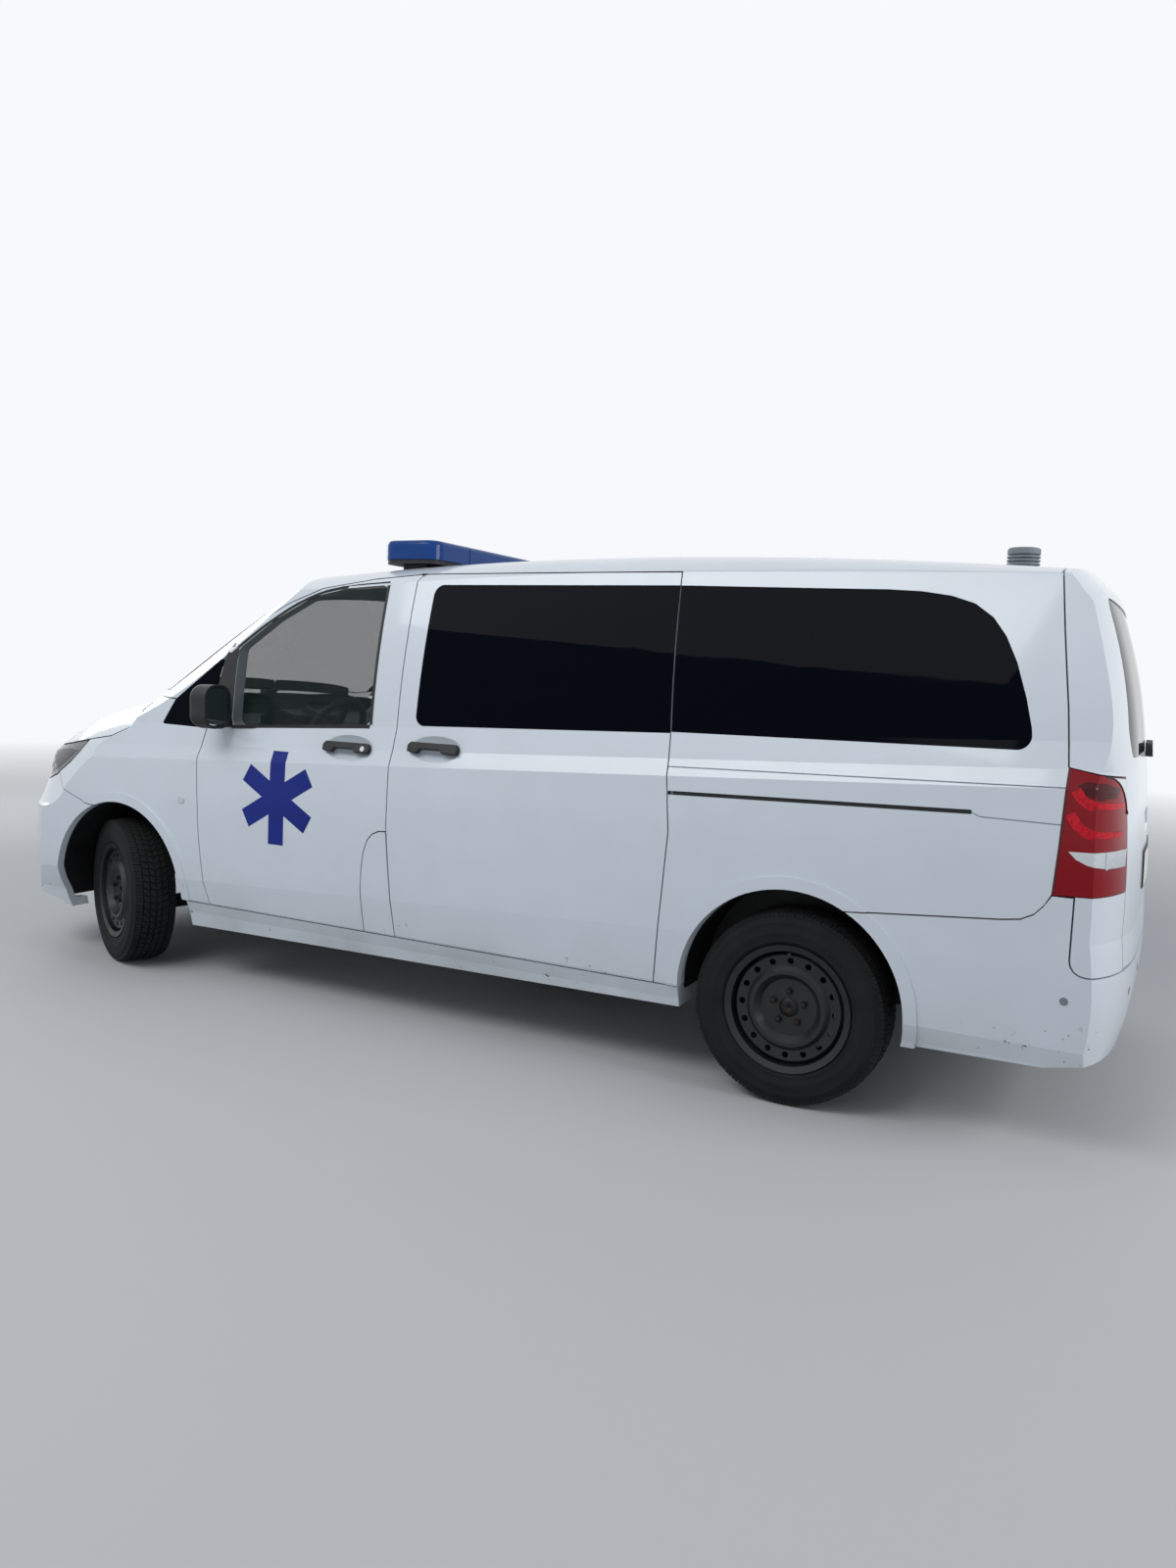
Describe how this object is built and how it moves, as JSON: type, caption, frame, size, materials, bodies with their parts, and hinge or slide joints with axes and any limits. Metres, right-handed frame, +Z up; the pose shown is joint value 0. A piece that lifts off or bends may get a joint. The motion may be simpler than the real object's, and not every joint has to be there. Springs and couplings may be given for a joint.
{
  "type": "ambulance van",
  "caption": "White ambulance on a long panel van, with front doors, tailgate, bonnet and wheels that move.",
  "frame": {"origin": "on the ground, at the middle of the vehicle's length and width", "axes": "+X towards the front, +Y to the vehicle's left, +Z up"},
  "size_m": [5.1431, 2.174, 1.978],
  "materials": {
    "white_paint": "gloss white paint",
    "black_plastic": "moulded matt black",
    "clear_glass": "clear, slightly green",
    "dark_glass": "dark tinted",
    "clear_lens": "clear lamp lens",
    "red_lens": "red lamp lens",
    "blue_lens": "blue beacon lens",
    "tyre_rubber": "black rubber",
    "black_steel": "black painted pressed steel",
    "dark_steel": "dull dark steel",
    "primer_steel": "painted pressed steel",
    "cast_metal": "rough cast",
    "light_alloy": "satin",
    "grey_plastic": "moulded grey",
    "dark_trim": "soft dark moulding",
    "light_trim": "light smooth panel",
    "seat_fabric": "dark woven cloth"
  },
  "bodies": {
    "vehicle_body": {"body_frame": "primer_steel", "bulkhead": "primer_steel", "cab_seats": "seat_fabric", "cowl": "black_plastic", "dashboard": "dark_trim", "engine": "cast_metal", "exhaust": "dark_steel", "floor_pan": "primer_steel", "front_bumper": "white_paint", "front_fenders": "white_paint", "front_frame": "primer_steel", "front_suspension": "dark_steel", "front_wipers": "black_plastic", "fuel_flap": "white_paint", "fuel_tank": "black_plastic", "grilles": "black_plastic", "headlamps": "clear_lens", "light_bar_base": "black_plastic", "light_bar_lens": "blue_lens", "partition": "light_trim", "radiator": "light_alloy", "rear_axle": "dark_steel", "rear_bumper": "white_paint", "rear_sides": "white_paint", "roof_and_pillars": "white_paint", "roof_vent": "grey_plastic", "sills": "white_paint", "sliding_door_handles": "black_plastic", "sliding_doors": "white_paint", "steering_wheel": "dark_trim", "stretcher_deck": "light_alloy", "tail_lamps": "red_lens", "tinted_side_glass": "dark_glass", "wheel_liners": "black_plastic", "windscreen": "clear_glass"},
    "steer_left": {"knuckle_left": "dark_steel"},
    "steer_right": {"knuckle_right": "dark_steel"},
    "wheel_front_left": {"front_rim_left": "black_steel", "front_tyre_left": "tyre_rubber"},
    "wheel_front_right": {"front_rim_right": "black_steel", "front_tyre_right": "tyre_rubber"},
    "wheel_rear_left": {"rear_rim_left": "black_steel", "rear_tyre_left": "tyre_rubber"},
    "wheel_rear_right": {"rear_rim_right": "black_steel", "rear_tyre_right": "tyre_rubber"},
    "door_left": {"front_door_left": "white_paint", "front_door_glass_left": "clear_glass", "front_door_handle_left": "black_plastic", "door_mirror_left": "black_plastic"},
    "door_right": {"front_door_right": "white_paint", "front_door_glass_right": "clear_glass", "front_door_handle_right": "black_plastic", "door_mirror_right": "black_plastic"},
    "rear_door": {"tailgate": "white_paint", "tailgate_glass": "dark_glass", "rear_wiper": "black_plastic"},
    "hood": {"bonnet": "white_paint"}
  },
  "joints": [
    {"name": "steering_left", "type": "hinge", "parent": "vehicle_body", "child": "steer_left", "pos_m": [1.675, 0.744, 0.336], "axis": [0, 0, 1], "range_deg": [-13, 61]},
    {"name": "steering_right", "type": "hinge", "parent": "vehicle_body", "child": "steer_right", "pos_m": [1.675, -0.744, 0.336], "axis": [0, 0, 1], "range_deg": [-13, 61]},
    {"name": "front_wheel_left_spin", "type": "hinge", "parent": "steer_left", "child": "wheel_front_left", "pos_m": [1.7112, 0.8253, 0.336], "axis": [0.4067, 0.9135, 0], "continuous": true},
    {"name": "front_wheel_right_spin", "type": "hinge", "parent": "steer_right", "child": "wheel_front_right", "pos_m": [1.6388, -0.8253, 0.336], "axis": [0.4067, 0.9135, 0], "continuous": true},
    {"name": "rear_wheel_left_spin", "type": "hinge", "parent": "vehicle_body", "child": "wheel_rear_left", "pos_m": [-1.525, 0.8235, 0.336], "axis": [0, 1, 0], "continuous": true},
    {"name": "rear_wheel_right_spin", "type": "hinge", "parent": "vehicle_body", "child": "wheel_rear_right", "pos_m": [-1.525, -0.8235, 0.336], "axis": [0, 1, 0], "continuous": true},
    {"name": "front_door_left_hinge", "type": "hinge", "parent": "vehicle_body", "child": "door_left", "pos_m": [1.184, 0.964, 0.811], "axis": [0, 0.0349, -0.9994], "range_deg": [0, 68]},
    {"name": "front_door_right_hinge", "type": "hinge", "parent": "vehicle_body", "child": "door_right", "pos_m": [1.184, -0.964, 0.811], "axis": [0, 0.0349, 0.9994], "range_deg": [0, 68]},
    {"name": "tailgate_hinge", "type": "hinge", "parent": "vehicle_body", "child": "rear_door", "pos_m": [-2.27, 0, 1.864], "axis": [0, 1, 0], "range_deg": [0, 85]},
    {"name": "bonnet_hinge", "type": "hinge", "parent": "vehicle_body", "child": "hood", "pos_m": [1.585, 0, 1.24], "axis": [0, -1, 0], "range_deg": [0, 55]}
  ],
  "couplings": [
    {"joint": "steering_right", "follows": "steering_left", "ratio": 1}
  ]
}
